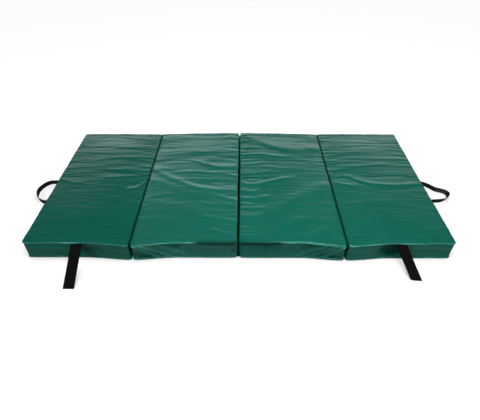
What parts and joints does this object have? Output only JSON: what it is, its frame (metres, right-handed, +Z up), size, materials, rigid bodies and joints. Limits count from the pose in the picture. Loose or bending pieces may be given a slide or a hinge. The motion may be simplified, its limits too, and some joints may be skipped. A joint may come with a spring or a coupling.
{
  "type": "crash mat",
  "caption": "Folding crash mat of foam panels in coated-fabric covers, hinged edge to edge so that it stacks, with webbing end handles and hook-and-loop closing straps.",
  "frame": {"origin": "bottom centre of the box round the whole mat with its handles and straps, on the floor plane; the mat's own middle is at x -0.0175, y 0.094", "axes": "+X along the mat from the first panel to the last, +Y towards the zipped back wall, +Z up"},
  "size_m": [2.347, 1.1923, 0.106],
  "materials": {
    "cover_fabric": "green coated fabric, satin",
    "base_fabric": "darker green coated fabric with a fine grip texture",
    "foam": "open-cell foam block",
    "webbing": "black woven webbing",
    "loop_tape": "black loop tape, napped",
    "hook_tape": "black hook tape, fine rows of hooks",
    "zip_tape": "dark green woven zip tape with moulded teeth",
    "zip_metal": "nickel-plated zip slider and pull"
  },
  "bodies": {
    "panel_1": {"foam_core_1": "foam", "top_skin_1": "cover_fabric", "base_skin_1": "base_fabric", "side_band_1": "cover_fabric", "zip_chain_1": "zip_tape", "hinge_1_leaf_1": "cover_fabric", "handle_left_front_tab": "webbing", "handle_left_back_tab": "webbing", "loop_strap_sewn_end": "loop_tape"},
    "panel_2": {"foam_core_2": "foam", "top_skin_2": "cover_fabric", "base_skin_2": "base_fabric", "side_band_2": "cover_fabric", "zip_chain_2": "zip_tape", "hinge_1_leaf_2": "cover_fabric", "hinge_2_leaf_2": "cover_fabric"},
    "panel_3": {"foam_core_3": "foam", "top_skin_3": "cover_fabric", "base_skin_3": "base_fabric", "side_band_3": "cover_fabric", "zip_chain_3": "zip_tape", "hinge_2_leaf_3": "cover_fabric", "hinge_3_leaf_3": "cover_fabric"},
    "panel_4": {"foam_core_4": "foam", "top_skin_4": "cover_fabric", "base_skin_4": "base_fabric", "side_band_4": "cover_fabric", "zip_chain_4": "zip_tape", "hinge_3_leaf_4": "cover_fabric", "handle_right_front_tab": "webbing", "handle_right_back_tab": "webbing", "hook_strap_sewn_end": "hook_tape"},
    "handle_left": {"handle_left_loop": "webbing"},
    "handle_right": {"handle_right_loop": "webbing"},
    "loop_strap": {"loop_strap": "loop_tape"},
    "hook_strap": {"hook_strap": "hook_tape"},
    "zip_slider_1": {"zip_slider_1": "zip_metal"},
    "zip_slider_2": {"zip_slider_2": "zip_metal"},
    "zip_slider_3": {"zip_slider_3": "zip_metal"},
    "zip_slider_4": {"zip_slider_4": "zip_metal"},
    "zip_pull_1": {"zip_pull_1": "zip_metal"},
    "zip_pull_2": {"zip_pull_2": "zip_metal"},
    "zip_pull_3": {"zip_pull_3": "zip_metal"},
    "zip_pull_4": {"zip_pull_4": "zip_metal"}
  },
  "joints": [
    {"name": "seam_1_fold", "type": "hinge", "parent": "panel_1", "child": "panel_2", "pos_m": [-0.5175, 0.09402, 0.1064], "axis": [0, -1, 0], "range_deg": [0, 179.9]},
    {"name": "seam_2_fold", "type": "hinge", "parent": "panel_2", "child": "panel_3", "pos_m": [-0.0175, 0.09402, -0.0002], "axis": [0, 1, 0], "range_deg": [0, 179.9]},
    {"name": "seam_3_fold", "type": "hinge", "parent": "panel_3", "child": "panel_4", "pos_m": [0.4825, 0.09402, 0.1064], "axis": [0, -1, 0], "range_deg": [0, 179.9]},
    {"name": "handle_left_lift", "type": "hinge", "parent": "panel_1", "child": "handle_left", "pos_m": [-1.0178, 0.09402, 0.0303], "axis": [0, 1, 0], "range_deg": [0, 90]},
    {"name": "handle_right_lift", "type": "hinge", "parent": "panel_4", "child": "handle_right", "pos_m": [0.9828, 0.09402, 0.0303], "axis": [0, -1, 0], "range_deg": [0, 90]},
    {"name": "loop_strap_lift", "type": "hinge", "parent": "panel_1", "child": "loop_strap", "pos_m": [-0.7625, -0.40703, 0.09815], "axis": [-1, 0, 0], "range_deg": [0, 117]},
    {"name": "hook_strap_lift", "type": "hinge", "parent": "panel_4", "child": "hook_strap", "pos_m": [0.7275, -0.41052, 0.09815], "axis": [-1, 0, 0], "range_deg": [0, 126]},
    {"name": "zip_slide_1", "type": "slide", "parent": "panel_1", "child": "zip_slider_1", "axis": [1, 0, 0], "range_m": [0, 0.419]},
    {"name": "zip_slide_2", "type": "slide", "parent": "panel_2", "child": "zip_slider_2", "axis": [1, 0, 0], "range_m": [0, 0.419]},
    {"name": "zip_slide_3", "type": "slide", "parent": "panel_3", "child": "zip_slider_3", "axis": [1, 0, 0], "range_m": [0, 0.419]},
    {"name": "zip_slide_4", "type": "slide", "parent": "panel_4", "child": "zip_slider_4", "axis": [1, 0, 0], "range_m": [0, 0.419]},
    {"name": "zip_pull_flip_1", "type": "hinge", "parent": "zip_slider_1", "child": "zip_pull_1", "pos_m": [-0.97845, 0.59613, 0.05], "axis": [0, 0, 1], "range_deg": [0, 180]},
    {"name": "zip_pull_flip_2", "type": "hinge", "parent": "zip_slider_2", "child": "zip_pull_2", "pos_m": [-0.4792, 0.59613, 0.05], "axis": [0, 0, 1], "range_deg": [0, 180]},
    {"name": "zip_pull_flip_3", "type": "hinge", "parent": "zip_slider_3", "child": "zip_pull_3", "pos_m": [0.0248, 0.59613, 0.05], "axis": [0, 0, 1], "range_deg": [0, 180]},
    {"name": "zip_pull_flip_4", "type": "hinge", "parent": "zip_slider_4", "child": "zip_pull_4", "pos_m": [0.52405, 0.59613, 0.05], "axis": [0, 0, 1], "range_deg": [0, 180]}
  ]
}
